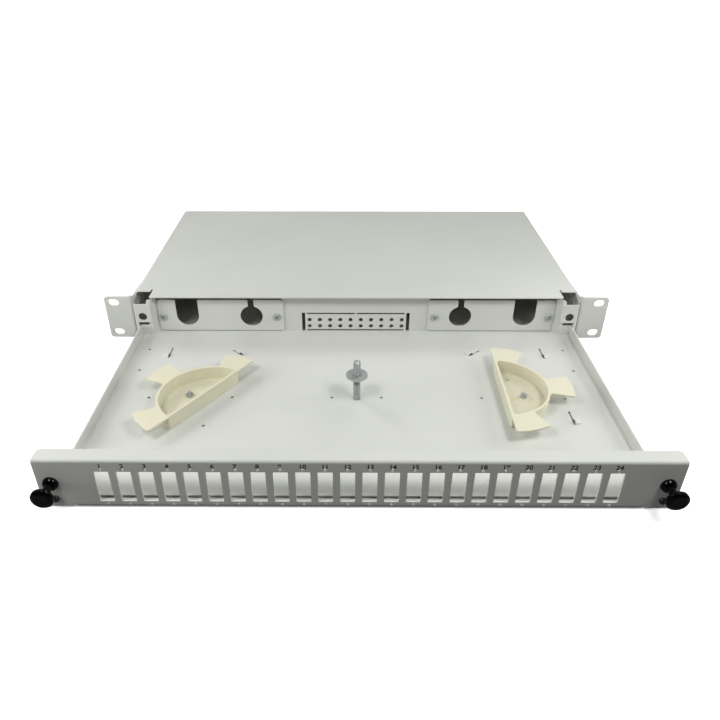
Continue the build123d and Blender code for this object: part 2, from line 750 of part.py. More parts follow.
def make_all():
    """Every node of the assembly by name."""
    guide = make_guide_body()
    right_ear = make_right_ear()
    right_ear_screws = make_right_ear_screws()
    cable_plate = make_cable_plate()
    cable_plate_screws = make_cable_plate_screws()
    grommet = make_grommet()
    plunger = make_plunger()
    return {
        "top_cover": make_top_cover(),
        "base_plate": make_base_plate(),
        "base_screws": make_base_screws(),
        "rack_ear_left": mirrored(right_ear),
        "rack_ear_right": right_ear,
        "ear_screws_left": mirrored(right_ear_screws),
        "ear_screws_right": right_ear_screws,
        "drawer_tray": make_drawer_tray(),
        "front_panel": make_front_panel(),
        "panel_screws": make_panel_screws(),
        "cable_plate_left": mirrored(cable_plate),
        "cable_plate_right": cable_plate,
        "cable_plate_screws_left": mirrored(cable_plate_screws),
        "cable_plate_screws_right": cable_plate_screws,
        "bend_guide_left": guide_place(-1, guide_left_angle) * guide,
        "bend_guide_right": guide_place(1, guide_right_angle) * guide,
        "guide_stud_left": make_guide_stud(-1),
        "guide_stud_right": make_guide_stud(1),
        "guide_nut_left": make_guide_nut(-1),
        "guide_nut_right": make_guide_nut(1),
        "cassette_stud": make_cassette_stud(),
        "cassette_nut": make_cassette_nut(),
        "cassette_washer": make_cassette_washer(),
        "latch_grommet_left": mirrored(grommet),
        "latch_grommet_right": grommet,
        "latch_plunger_left": mirrored(plunger),
        "latch_plunger_right": plunger,
    }


os.makedirs("parts", exist_ok=True)
for name, shape in make_all().items():
    export_step(shape, "parts/" + name + ".step")
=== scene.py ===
# %% [markdown]
# # A sliding patch panel for fibre connectors
# The real object is folded from thin steel sheet: a flat sleeve with two rack ears, and a drawer that is
# pulled out of it. The CAD model already has every sheet, hole and bend at its true size, so this lesson
# keeps those solids and works on what CAD leaves out: the finishes, the screw heads, the threads and the
# printed numbers.

# %% Load the frame
import json
import math

import bmesh
import bpy
from mathutils import Matrix, Vector


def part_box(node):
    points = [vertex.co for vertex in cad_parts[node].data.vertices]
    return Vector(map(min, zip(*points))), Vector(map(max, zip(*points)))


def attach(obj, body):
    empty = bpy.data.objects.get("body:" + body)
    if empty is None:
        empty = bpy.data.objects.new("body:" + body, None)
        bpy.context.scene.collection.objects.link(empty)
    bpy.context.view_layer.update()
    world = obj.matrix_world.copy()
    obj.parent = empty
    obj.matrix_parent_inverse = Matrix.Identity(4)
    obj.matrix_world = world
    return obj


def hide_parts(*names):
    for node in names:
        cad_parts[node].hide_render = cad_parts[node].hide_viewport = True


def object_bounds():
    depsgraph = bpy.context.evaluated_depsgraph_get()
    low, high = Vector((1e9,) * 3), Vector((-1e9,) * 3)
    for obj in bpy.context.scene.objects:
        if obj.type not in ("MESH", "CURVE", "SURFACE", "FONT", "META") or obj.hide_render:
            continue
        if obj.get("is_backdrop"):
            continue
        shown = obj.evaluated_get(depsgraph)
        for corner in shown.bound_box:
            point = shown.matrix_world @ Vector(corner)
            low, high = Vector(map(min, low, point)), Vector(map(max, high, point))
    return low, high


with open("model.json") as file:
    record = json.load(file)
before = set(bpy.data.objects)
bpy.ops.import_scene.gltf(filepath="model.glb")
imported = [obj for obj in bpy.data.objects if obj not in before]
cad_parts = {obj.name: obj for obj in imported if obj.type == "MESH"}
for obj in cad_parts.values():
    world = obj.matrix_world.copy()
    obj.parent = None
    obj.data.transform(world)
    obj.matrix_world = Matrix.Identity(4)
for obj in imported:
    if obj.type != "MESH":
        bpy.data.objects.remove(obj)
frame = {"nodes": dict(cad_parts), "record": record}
nodes = frame["nodes"]
scene = bpy.context.scene
cad_box = [list(corner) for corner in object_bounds()]
MM = 0.001
print("size in mm:", [round((high - low) / MM, 1) for low, high in zip(*cad_box)])

# %% [markdown]
# ## A short way to build a material
# Every finish here is a Principled shader with a few noises behind its colour, roughness and bump. One
# could wire each tree by hand in the shader editor. A small class keeps the wiring readable in a script,
# and makes it hard to forget that all patterns read Object coordinates, which are metres here.

# %% A class for one finish
class Finish:
    """A Principled material with helpers that add and join its nodes."""

    def __init__(self, name, **sockets):
        self.material = bpy.data.materials.new(name)
        self.material.use_nodes = True
        self.tree = self.material.node_tree
        self.shader = self.tree.nodes["Principled BSDF"]
        for socket, value in sockets.items():
            self.shader.inputs[socket.replace("_", " ")].default_value = value
        self.place = self.add("ShaderNodeTexCoord").outputs["Object"]

    def add(self, kind, **settings):
        node = self.tree.nodes.new(kind)
        for setting, value in settings.items():
            setattr(node, setting, value)
        return node

    def join(self, output, socket):
        self.tree.links.new(output, socket)

    def noise(self, scale, detail=2.0, stretch=(1, 1, 1)):
        """A noise with about `scale` blobs to the metre."""
        mapping = self.add("ShaderNodeMapping")
        mapping.inputs["Scale"].default_value = stretch
        self.join(self.place, mapping.inputs["Vector"])
        node = self.add("ShaderNodeTexNoise")
        node.inputs["Scale"].default_value = scale
        node.inputs["Detail"].default_value = detail
        self.join(mapping.outputs["Vector"], node.inputs["Vector"])
        return node.outputs["Fac"]

    def between(self, factor, low, high, start=0.3, stop=0.7):
        """A number that goes from low to high as the factor goes from start to stop."""
        node = self.add("ShaderNodeMapRange")
        for socket, value in zip(("From Min", "From Max", "To Min", "To Max"), (start, stop, low, high)):
            node.inputs[socket].default_value = value
        self.join(factor, node.inputs["Value"])
        return node.outputs["Result"]

    def colours(self, factor, *stops):
        """A colour ramp; each stop is (position, (red, green, blue))."""
        node = self.add("ShaderNodeValToRGB")
        ramp = node.color_ramp
        while len(ramp.elements) < len(stops):
            ramp.elements.new(0.5)
        for element, (position, colour) in zip(ramp.elements, stops):
            element.position = position
            element.color = (*colour, 1.0)
        self.join(factor, node.inputs["Fac"])
        return node.outputs["Color"]

    def bump(self, height, distance, strength=1.0, normal=None):
        """A bump whose full height is `distance` metres, on top of another normal if one is given."""
        node = self.add("ShaderNodeBump")
        node.inputs["Strength"].default_value = strength
        node.inputs["Distance"].default_value = distance
        self.join(height, node.inputs["Height"])
        if normal is not None:
            self.join(normal, node.inputs["Normal"])
        return node.outputs["Normal"]

    def rounded(self, radius):
        """Softens every sharp edge in the shading, as paint and tumbling do on the real part."""
        node = self.add("ShaderNodeBevel", samples=6)
        node.inputs["Radius"].default_value = radius
        return node.outputs["Normal"]

    def finish(self, colour=None, roughness=None, normal=None):
        """Joins what is given to the shader, and returns the material."""
        for output, socket in ((colour, "Base Color"), (roughness, "Roughness"), (normal, "Normal")):
            if output is not None:
                self.join(output, self.shader.inputs[socket])
        print(self.material.name, "has", len(self.tree.nodes), "nodes")
        return self.material


# %% [markdown]
# ## Light grey powder coat
# The sheets are sprayed with powder and baked, which leaves a satin skin with a faint orange peel. The
# peel is two noises of different size in the bump. The colour hardly changes, so the two greys of the
# ramp are close, and a wide noise moves between them. The bevel node rounds the cut edges, where the
# real coat is thick and catches the light.

# %% Powder coat
coat = Finish("light_grey_powder_coat", Specular_IOR_Level=0.42)
coat_colour = coat.colours(
    coat.noise(9.0, 3.0), (0.3, (0.565, 0.579, 0.541)), (0.7, (0.598, 0.610, 0.572))
)
coat_roughness = coat.between(coat.noise(160.0, 3.0), 0.40, 0.52)
coat_edge = coat.rounded(0.5 * MM)
coat_peel = coat.bump(coat.noise(620.0, 1.0), 0.030 * MM, 0.55, coat_edge)
coat_grain = coat.bump(coat.noise(3200.0, 2.0), 0.008 * MM, 0.5, coat_peel)
powder_coat = coat.finish(coat_colour, coat_roughness, coat_grain)

# %% [markdown]
# ## Zinc plate
# The screws, nuts and studs are bright steel with a thin blue zinc. It is a metal, so its colour is the
# colour of its reflections: a cool grey that shifts a little towards yellow, with dull patches. A
# quarter of it is a matt bloom, which keeps the small screws as pale as they are in the photograph.

# %% Zinc plate
zinc = Finish("blue_zinc_plate", Metallic=0.75)
zinc_colour = zinc.colours(
    zinc.noise(260.0, 3.0),
    (0.30, (0.43, 0.46, 0.48)), (0.52, (0.52, 0.54, 0.54)), (0.75, (0.54, 0.54, 0.50)),
)
zinc_roughness = zinc.between(zinc.noise(900.0, 3.0), 0.34, 0.50)
zinc_normal = zinc.bump(zinc.noise(2600.0, 2.0), 0.006 * MM, 0.6, zinc.rounded(0.15 * MM))
zinc_plate = zinc.finish(zinc_colour, zinc_roughness, zinc_normal)

# %% [markdown]
# ## Black nylon and black screws
# The latches are moulded in glossy black nylon. Moulded plastic is never quite flat, so a wide, shallow
# noise bends its highlights. The two panel screws are black steel with an oily sheen.

# %% Black finishes
nylon = Finish("black_moulded_nylon", Specular_IOR_Level=0.22)
nylon_colour = nylon.colours(
    nylon.noise(90.0, 2.0), (0.3, (0.0006, 0.0006, 0.0007)), (0.7, (0.0014, 0.0014, 0.0016))
)
nylon_roughness = nylon.between(nylon.noise(450.0, 3.0), 0.06, 0.11)
nylon_flow = nylon.bump(nylon.noise(140.0, 1.0), 0.05 * MM, 0.35, nylon.rounded(0.25 * MM))
nylon_normal = nylon.bump(nylon.noise(2400.0, 2.0), 0.004 * MM, 0.5, nylon_flow)
black_nylon = nylon.finish(nylon_colour, nylon_roughness, nylon_normal)

oxide = Finish("black_oxide_steel", Metallic=0.85)
oxide_colour = oxide.colours(
    oxide.noise(700.0, 3.0), (0.3, (0.050, 0.050, 0.053)), (0.7, (0.120, 0.120, 0.125))
)
oxide_roughness = oxide.between(oxide.noise(1500.0, 2.0), 0.16, 0.30)
oxide_normal = oxide.bump(oxide.noise(3000.0, 2.0), 0.006 * MM, 0.6, oxide.rounded(0.12 * MM))
black_oxide = oxide.finish(oxide_colour, oxide_roughness, oxide_normal)

# %% [markdown]
# ## Beige guide plastic
# The bend guides are injection moulded in an ivory plastic. Light goes a little way into it, which a
# small subsurface weight gives. The colour drifts slightly between a warmer and a greener ivory, as
# the resin flowed.

# %% Guide plastic
ivory = Finish("ivory_moulded_plastic", Subsurface_Weight=0.12, Subsurface_Scale=0.003, IOR=1.5)
ivory_colour = ivory.colours(
    ivory.noise(22.0, 2.0),
    (0.28, (0.653, 0.622, 0.490)), (0.5, (0.648, 0.626, 0.482)), (0.75, (0.634, 0.626, 0.468)),
)
ivory_roughness = ivory.between(ivory.noise(240.0, 3.0), 0.36, 0.48)
ivory_flow = ivory.bump(ivory.noise(60.0, 1.0), 0.05 * MM, 0.3, ivory.rounded(0.35 * MM))
ivory_normal = ivory.bump(ivory.noise(2000.0, 2.0), 0.006 * MM, 0.5, ivory_flow)
guide_plastic = ivory.finish(ivory_colour, ivory_roughness, ivory_normal)

# %% [markdown]
# ## Printing ink
# The numbers are screen printed in matt black. A fine noise makes the ink slightly uneven.

# %% Ink
ink = Finish("black_printing_ink", Specular_IOR_Level=0.3)
ink_colour = ink.colours(
    ink.noise(1800.0, 3.0), (0.35, (0.016, 0.016, 0.017)), (0.7, (0.045, 0.045, 0.047))
)
ink_roughness = ink.between(ink.noise(2500.0, 2.0), 0.5, 0.7)
ink_normal = ink.bump(ink.noise(3500.0, 2.0), 0.004 * MM, 0.4)
printing_ink = ink.finish(ink_colour, ink_roughness, ink_normal)

# %% [markdown]
# ## Give the CAD solids their finishes
# The record already says what each solid is made of, by slot. So one table from slot to material dresses
# all of them, and nothing is left in a default grey.

# %% Dress the CAD nodes
slot_finish = {
    "powder_coat": powder_coat,
    "zinc_plate": zinc_plate,
    "dark_screw": black_oxide,
    "latch_nylon": black_nylon,
    "guide_plastic": guide_plastic,
}
for subpart in frame["record"]["subparts"]:
    materials = nodes[subpart["node"]].data.materials
    materials.clear()
    materials.append(slot_finish[subpart["material_slot"]])
print("dressed", len(nodes), "nodes")

# %% [markdown]
# ## Turned bodies
# A screw blank is a turned form, so its shape is one half section swept round an axis. Blender's Spin or
# Screw tools would do it. A dozen lines of mesh code give full control of the poles: the two points on
# the axis are single vertices, so the mesh closes with no doubles.

# %% A lathe
def lathe(profile, steps=40):
    """A closed mesh turned about Z. The profile is (radius, height) in metres, from pole to pole."""
    shape = bmesh.new()
    rings = []
    for radius, height in profile:
        if radius == 0:
            rings.append([shape.verts.new((0, 0, height))])
            continue
        angles = [2 * math.pi * step / steps for step in range(steps)]
        rings.append([shape.verts.new((radius * math.cos(a), radius * math.sin(a), height)) for a in angles])
    for lower, upper in zip(rings, rings[1:]):
        for step in range(steps):
            after = (step + 1) % steps
            corners = [lower[step % len(lower)], lower[after % len(lower)]]
            corners += [upper[after % len(upper)], upper[step % len(upper)]]
            unique = list(dict.fromkeys(corners))
            shape.faces.new(unique)
    bmesh.ops.recalc_face_normals(shape, faces=shape.faces)
    mesh = bpy.data.meshes.new("turned")
    shape.to_mesh(mesh)
    shape.free()
    return mesh


SMALL_STEP = 0.1 * MM
RIB_DEPTH = 0.32  # of the pitch
TIP_CHAMFER = 0.25  # of the shank's radius
HEAD_EDGE = 0.42  # of the head's height, below its dome
DOME_FLAT = 0.42  # of the head's radius, at the top of its dome


def screw_profile(head_radius, head_height, shank_radius, shank_length, pitch):
    """The half section of a pan head screw: a ribbed shank below z = 0, and a domed head above."""
    tip = shank_radius * TIP_CHAMFER
    root = shank_radius - RIB_DEPTH * pitch
    points = [(0, -shank_length), (shank_radius - tip - SMALL_STEP, -shank_length)]
    height = -shank_length + tip
    while height + pitch < -SMALL_STEP:
        points += [(root, height), (shank_radius, height + pitch / 2)]
        height += pitch
    points += [(root, -SMALL_STEP / 2), (root, 0), (head_radius, 0)]
    edge = head_height * HEAD_EDGE
    for degrees in range(0, 90, 10):
        angle = math.radians(degrees)
        radius = head_radius * (DOME_FLAT + (1 - DOME_FLAT) * math.cos(angle))
        points.append((radius, edge + (head_height - edge) * math.sin(angle)))
    points.append((0, head_height))
    return points


# %% [markdown]
# ## Geometry Nodes in a script
# What repeats is made by Geometry Nodes: a tree is built once, with named inputs for its sizes, and a
# modifier runs it on a small mesh. The result is copied out with new_from_object, so each piece ends as
# a plain mesh with no modifier, ready to ride on its body.

# %% Helpers for Geometry Nodes
class Tool:
    """A Geometry Nodes tree with named inputs."""

    def __init__(self, name, inputs):
        self.tree = bpy.data.node_groups.new(name, "GeometryNodeTree")
        face = self.tree.interface
        face.new_socket("Geometry", in_out="INPUT", socket_type="NodeSocketGeometry")
        for label, kind in inputs:
            face.new_socket(label, in_out="INPUT", socket_type="NodeSocket" + kind)
        face.new_socket("Geometry", in_out="OUTPUT", socket_type="NodeSocketGeometry")
        self.given = self.tree.nodes.new("NodeGroupInput").outputs
        self.result = self.tree.nodes.new("NodeGroupOutput").inputs[0]

    def add(self, kind, settings=None, **inputs):
        """A node; each input is a plain value or another node's output."""
        named_in_full = kind.startswith(("Shader", "Function"))
        node = self.tree.nodes.new(kind if named_in_full else "GeometryNode" + kind)
        for setting, value in (settings or {}).items():
            setattr(node, setting, value)
        for label, value in inputs.items():
            socket = node.inputs[label.replace("_", " ")]
            if isinstance(value, bpy.types.NodeSocket):
                self.tree.links.new(value, socket)
            else:
                socket.default_value = value
        return node

    def maths(self, operation, first, second):
        node = self.tree.nodes.new("ShaderNodeMath")
        node.operation = operation
        for socket, value in zip(node.inputs, (first, second)):
            if isinstance(value, bpy.types.NodeSocket):
                self.tree.links.new(value, socket)
            else:
                socket.default_value = value
        return node.outputs[0]

    def merged(self, *shapes):
        node = self.tree.nodes.new("GeometryNodeJoinGeometry")
        for shape in shapes:
            self.tree.links.new(shape, node.inputs[0])
        return node.outputs[0]

    def close(self, shape):
        """Ends the tree: instances become real, and the material input is set."""
        real = self.add("RealizeInstances", Geometry=shape)
        dressed = self.add("SetMaterial", Geometry=real.outputs[0], Material=self.given["Material"])
        self.tree.links.new(dressed.outputs[0], self.result)
        print(self.tree.name, "has", len(self.tree.nodes), "nodes")

    def run(self, name, mesh, **values):
        """Runs the tree on a mesh, and returns the result as a new object with a plain mesh."""
        worker = bpy.data.objects.new(name + "_worker", mesh)
        scene.collection.objects.link(worker)
        modifier = worker.modifiers.new("tool", "NODES")
        modifier.node_group = self.tree
        for item in self.tree.interface.items_tree:
            label = item.name.replace(" ", "_")
            if item.in_out == "INPUT" and label in values:
                modifier[item.identifier] = values[label]
        graph = bpy.context.evaluated_depsgraph_get()
        made = bpy.data.meshes.new_from_object(worker.evaluated_get(graph))
        bpy.data.objects.remove(worker)
        piece = bpy.data.objects.new(name, made)
        scene.collection.objects.link(piece)
        return piece


def dots(places):
    """A mesh of loose vertices, with each one's axis stored beside it as an attribute."""
    mesh = bpy.data.meshes.new("places")
    mesh.from_pydata([place for place, axis in places], [], [])
    axes = mesh.attributes.new("axis", "FLOAT_VECTOR", "POINT")
    for item, (place, axis) in zip(axes.data, places):
        item.vector = axis
    return mesh


# %% [markdown]
# ## The cross recess
# The photographed screws have a cross recess. It is cut out of the turned blank by a Mesh Boolean node,
# with two crossed bars as the cutter. The bars' length, width and depth are inputs of the tree, so the
# same tree serves both screw sizes.

# %% A tree that cuts the recess
CONE_TOP = 1.25  # of the bars' width
CONE_TIP = 0.3  # of the bars' width
CONE_HEIGHT = 1.5  # of the recess's depth
CONE_REACH = 1.3  # of the recess's depth, below the head's top
recess = Tool(
    "cross_recess",
    (
        ("Bar Length", "Float"), ("Bar Width", "Float"), ("Depth", "Float"), ("Head Height", "Float"),
        ("Material", "Material"),
    ),
)
bar_size = recess.add("ShaderNodeCombineXYZ", X=recess.given["Bar Length"], Y=recess.given["Bar Width"])
bar_height = recess.maths("MULTIPLY", recess.given["Depth"], 2.0)
recess.tree.links.new(bar_height, bar_size.inputs["Z"])
bar = recess.add("MeshCube", Size=bar_size.outputs[0])
other_bar = recess.add("Transform", Geometry=bar.outputs[0], Rotation=(0, 0, math.pi / 2))
middle = recess.add(
    "MeshCone",
    Vertices=12,
    Radius_Top=recess.maths("MULTIPLY", recess.given["Bar Width"], CONE_TOP),
    Radius_Bottom=recess.maths("MULTIPLY", recess.given["Bar Width"], CONE_TIP),
    Depth=recess.maths("MULTIPLY", recess.given["Depth"], CONE_HEIGHT),
)
middle_depth = recess.maths("MULTIPLY", recess.given["Depth"], -CONE_REACH)
middle_low = recess.add("ShaderNodeCombineXYZ", Z=middle_depth)
middle_placed = recess.add("Transform", Geometry=middle.outputs[0], Translation=middle_low.outputs[0])
lift = recess.add("ShaderNodeCombineXYZ", Z=recess.given["Head Height"])
cutters = [
    recess.add("Transform", Geometry=part.outputs[0], Translation=lift.outputs[0])
    for part in (bar, other_bar, middle_placed)
]
cut = recess.add("MeshBoolean", {"operation": "DIFFERENCE", "solver": "EXACT"})
recess.tree.links.new(recess.given["Geometry"], cut.inputs[0])
for cutter in cutters:
    recess.tree.links.new(cutter.outputs[0], cut.inputs[1])
recess.close(cut.outputs[0])


RECESS_LENGTH = 1.05  # of the head's radius
RECESS_WIDTH = 0.21  # of the head's radius
RECESS_DEPTH = 0.62  # of the head's height


def screw(name, head_radius, head_height, shank_radius, pitch, shank_length, material):
    """One finished screw along Z, kept out of sight as the pattern for its copies."""
    blank = lathe(screw_profile(head_radius, head_height, shank_radius, shank_length, pitch))
    pattern = recess.run(
        name, blank, Bar_Length=head_radius * RECESS_LENGTH, Bar_Width=head_radius * RECESS_WIDTH,
        Depth=head_height * RECESS_DEPTH, Head_Height=head_height, Material=material,
    )
    pattern.hide_render = True
    print(name, "has", len(pattern.data.polygons), "faces")
    return pattern


# %% [markdown]
# ## Setting the screws
# Each group of screws is one small mesh of points, one at each head's seat, with the screw's axis as an
# attribute. The tree puts a copy of the pattern on each point, points it along that axis, and turns it
# about itself by a seeded random angle, because no one lines up cross recesses.

# %% A tree that sets copies on points
setter = Tool("set_on_points", (("Pattern", "Object"), ("Turn Seed", "Int"), ("Material", "Material")))
axis_read = setter.add("InputNamedAttribute", {"data_type": "FLOAT_VECTOR"}, Name="axis")
upright = setter.add("FunctionNodeAlignRotationToVector", {"axis": "Z"}, Vector=axis_read.outputs[0])
turn = setter.add("FunctionNodeRandomValue", {"data_type": "FLOAT"}, Seed=setter.given["Turn Seed"])
FLOAT_MAXIMUM = 3  # this node has a maximum for each kind of number, and the kinds share a name
turn.inputs[FLOAT_MAXIMUM].default_value = math.pi
spin = setter.add("ShaderNodeCombineXYZ", Z=turn.outputs[1])
spin_rotation = setter.add("FunctionNodeEulerToRotation", Euler=spin.outputs[0])
turned = setter.add("FunctionNodeRotateRotation", {"rotation_space": "LOCAL"})
setter.tree.links.new(upright.outputs[0], turned.inputs[0])
setter.tree.links.new(spin_rotation.outputs[0], turned.inputs[1])
pattern_read = setter.add("ObjectInfo", Object=setter.given["Pattern"], As_Instance=True)
copies = setter.add(
    "InstanceOnPoints", Points=setter.given["Geometry"], Instance=pattern_read.outputs["Geometry"],
    Rotation=turned.outputs[0],
)
setter.close(copies.outputs[0])


def set_screws(node, pattern, seats, axis, body, material, seed):
    """Stands one piece of real screws in for a CAD node of plain ones."""
    places = dots([(seat, axis) for seat in seats])
    piece = setter.run(node + "_detailed", places, Pattern=pattern, Turn_Seed=seed, Material=material)
    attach(piece, body)
    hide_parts(node)
    print(piece.name, "has", len(seats), "screws")


# %% [markdown]
# ## Where the screws sit
# The seats come from the CAD solids, so a screw can't drift away from its hole. The solids of one node
# are loose meshes, so the first job is to split a node's vertices into its separate screws. A screw's
# seat is on its axis, one head height inside the far end of its box.

# %% Read the seats from the CAD solids
def separate_boxes(node, gap=6.0 * MM):
    """The boxes of a node's separate solids, found by growing groups of nearby vertices."""
    points = [vertex.co.copy() for vertex in nodes[node].data.vertices]
    groups = []
    for point in points:
        near = [group for group in groups if all(
            group[0][axis] - gap < point[axis] < group[1][axis] + gap for axis in range(3))]
        low, high = point.copy(), point.copy()
        for group in near:
            low = Vector(map(min, low, group[0]))
            high = Vector(map(max, high, group[1]))
            groups.remove(group)
        groups.append((low, high))
    return groups


def seats(node, axis, head_height):
    """The seat under each screw's head, for screws whose heads point along an axis of the frame."""
    number = max(range(3), key=lambda index: abs(axis[index]))
    places = []
    for low, high in separate_boxes(node):
        seat = (low + high) / 2
        seat[number] = (high if axis[number] > 0 else low)[number] - axis[number] * head_height
        places.append(seat)
    return sorted(places, key=lambda place: tuple(place))


# Heads are (radius, height), and threads are (radius, pitch)
M4_HEAD = (3.6 * MM, 2.3 * MM)
M3_WIDE_HEAD = (3.6 * MM, 1.9 * MM)
M3_HEAD = (2.75 * MM, 1.9 * MM)
M4_THREAD = (2.0 * MM, 0.7 * MM)
M3_THREAD = (1.5 * MM, 0.5 * MM)
EAR_SHANK, BASE_SHANK, PLATE_SHANK, PANEL_SHANK = 5.3 * MM, 3.0 * MM, 3.0 * MM, 3.3 * MM
ear_screw = screw("ear_screw_pattern", *M4_HEAD, *M4_THREAD, EAR_SHANK, zinc_plate)
base_screw = screw("base_screw_pattern", *M4_HEAD, *M4_THREAD, BASE_SHANK, zinc_plate)
plate_screw = screw("plate_screw_pattern", *M3_WIDE_HEAD, *M3_THREAD, PLATE_SHANK, zinc_plate)
panel_screw = screw("panel_screw_pattern", *M3_HEAD, *M3_THREAD, PANEL_SHANK, black_oxide)

LEFT, RIGHT, FRONT = Vector((-1, 0, 0)), Vector((1, 0, 0)), Vector((0, -1, 0))
for side, axis, seed in (("left", LEFT, 3), ("right", RIGHT, 5)):
    node = "ear_screws_" + side
    places = seats(node, axis, M4_HEAD[1])
    set_screws(node, ear_screw, places, axis, "housing", zinc_plate, seed)
    node = "cable_plate_screws_" + side
    places = seats(node, FRONT, M3_WIDE_HEAD[1])
    set_screws(node, plate_screw, places, FRONT, "drawer", zinc_plate, seed)
places = seats("panel_screws", FRONT, M3_HEAD[1])
set_screws("panel_screws", panel_screw, places, FRONT, "drawer", black_oxide, 11)

# %% [markdown]
# The base screws point both ways, so their points carry two axes in one mesh.

# %% Base screws on both sides
base_places = []
for low, high in separate_boxes("base_screws"):
    axis = RIGHT if low.x > 0 else LEFT
    seat = (low + high) / 2
    seat.x = (high if low.x > 0 else low).x - axis.x * M4_HEAD[1]
    base_places.append((seat, axis))
base_places.sort(key=lambda item: tuple(item[0]))
base_piece = setter.run(
    "base_screws_detailed", dots(base_places), Pattern=base_screw, Turn_Seed=7, Material=zinc_plate
)
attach(base_piece, "housing")
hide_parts("base_screws")
print("base screws:", len(base_places))

# %% [markdown]
# ## Threads
# A stud's thread is a helix with a three-sided section. The Spiral node gives the path and Curve to Mesh
# sweeps the section along it, with the pitch, radius and length as inputs. The core is a turned body
# with a small chamfer, so the thread runs out at its top.

# %% A tree that winds a thread
thread = Tool(
    "wind_thread",
    (
        ("Turns", "Float"), ("Radius", "Float"), ("Length", "Float"), ("Ridge", "Float"),
        ("Start", "Vector"), ("Material", "Material"),
    ),
)
helix = thread.add(
    "CurveSpiral", Resolution=28, Rotations=thread.given["Turns"], Start_Radius=thread.given["Radius"],
    End_Radius=thread.given["Radius"], Height=thread.given["Length"],
)
upright_helix = thread.add("SetCurveNormal", {"mode": "Z_UP"}, Curve=helix.outputs[0])
ridge = thread.add("CurvePrimitiveCircle", Resolution=4, Radius=thread.given["Ridge"])
wound = thread.add(
    "CurveToMesh", Curve=upright_helix.outputs[0], Profile_Curve=ridge.outputs["Curve"], Fill_Caps=True
)
stood = thread.add("Transform", Geometry=wound.outputs[0], Translation=thread.given["Start"])
thread.close(thread.merged(thread.given["Geometry"], stood.outputs[0]))


CORE_DEPTH = 0.55  # of the pitch
RIDGE_SIZE = 0.5  # of the pitch
PLAIN_END = 0.6  # of the pitch, at each end of the helix
STUD_CHAMFER = 0.24  # of the core's radius
STUD_SIDES = 32


def threaded_stud(node, pitch, body):
    """A stud with a real helix, in the place of a plain CAD one."""
    low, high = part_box(node)
    radius = (high.x - low.x) / 2
    length = high.z - low.z
    core = radius - CORE_DEPTH * pitch
    chamfer = STUD_CHAMFER * core
    profile = [(0, 0), (core, 0), (core, length - chamfer), (core - chamfer, length), (0, length)]
    blank = lathe(profile, STUD_SIDES)
    place = Vector(((low.x + high.x) / 2, (low.y + high.y) / 2, low.z))
    blank.transform(Matrix.Translation(place))
    ridge_size = RIDGE_SIZE * pitch
    wound_length = length - chamfer - 2 * PLAIN_END * pitch
    piece = thread.run(
        node + "_threaded", blank, Turns=wound_length / pitch, Radius=radius - ridge_size, Length=wound_length,
        Ridge=ridge_size, Start=place + Vector((0, 0, PLAIN_END * pitch)), Material=zinc_plate,
    )
    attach(piece, body)
    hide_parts(node)
    print(piece.name, "has", len(piece.data.polygons), "faces")


M6_PITCH = 1.0 * MM
threaded_stud("cassette_stud", M6_PITCH, "drawer")
threaded_stud("guide_stud_left", M3_THREAD[1], "drawer")
threaded_stud("guide_stud_right", M3_THREAD[1], "drawer")

# %% [markdown]
# ## The printed numbers
# The cut-outs are numbered from 1 at the left. Each number is a text curve that becomes a mesh before it
# is stood up against the panel, a few hundredths of a millimetre proud of it like a film of ink.

# %% Numbers over the cut-outs
PORTS = 24
PORT_PITCH = 14.9 * MM
NUMBER_HEIGHT = 15.6 * MM
NUMBER_SIZE = 5.1 * MM
INK_FILM = 0.03 * MM
INK_SPREAD = 0.14 * MM
panel_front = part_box("front_panel")[0].y
port_numbers = bmesh.new()
for port in range(PORTS):
    text = bpy.data.curves.new("number", "FONT")
    text.body = str(port + 1)
    text.size = NUMBER_SIZE
    text.align_x = "CENTER"
    text.align_y = "CENTER"
    text.extrude = INK_FILM / 2
    text.offset = INK_SPREAD
    holder = bpy.data.objects.new("number", text)
    scene.collection.objects.link(holder)
    graph = bpy.context.evaluated_depsgraph_get()
    mesh = bpy.data.meshes.new_from_object(holder.evaluated_get(graph))
    bpy.data.objects.remove(holder)
    x = (port - (PORTS - 1) / 2) * PORT_PITCH
    spot = Matrix.Translation((x, panel_front - INK_FILM / 2, NUMBER_HEIGHT))
    mesh.transform(spot @ Matrix.Rotation(math.pi / 2, 4, "X"))
    port_numbers.from_mesh(mesh)
bmesh.ops.remove_doubles(port_numbers, verts=port_numbers.verts, dist=0.001 * MM)
bmesh.ops.recalc_face_normals(port_numbers, faces=port_numbers.faces)
numbers_mesh = bpy.data.meshes.new("port_numbers")
port_numbers.to_mesh(numbers_mesh)
port_numbers.free()
numbers_mesh.materials.append(printing_ink)
numbers = bpy.data.objects.new("port_numbers", numbers_mesh)
scene.collection.objects.link(numbers)
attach(numbers, "drawer")
print("numbers:", len(numbers_mesh.polygons), "faces")

# %% [markdown]
# ## The floor
# The object lies on a plain pale floor. To the camera the floor is white, and it keeps the soft shadow
# close to the part. To every other ray it is a dull grey, so that it doesn't flood the shaded front
# panel with reflected light. Ramps over the distance from the part's footprint make it glow to full
# white away from the part. Beneath the part it doesn't glow, so the slits of the pulled-out drawer show
# shade, and the paper is as pale as the rest once the drawer is pushed in.

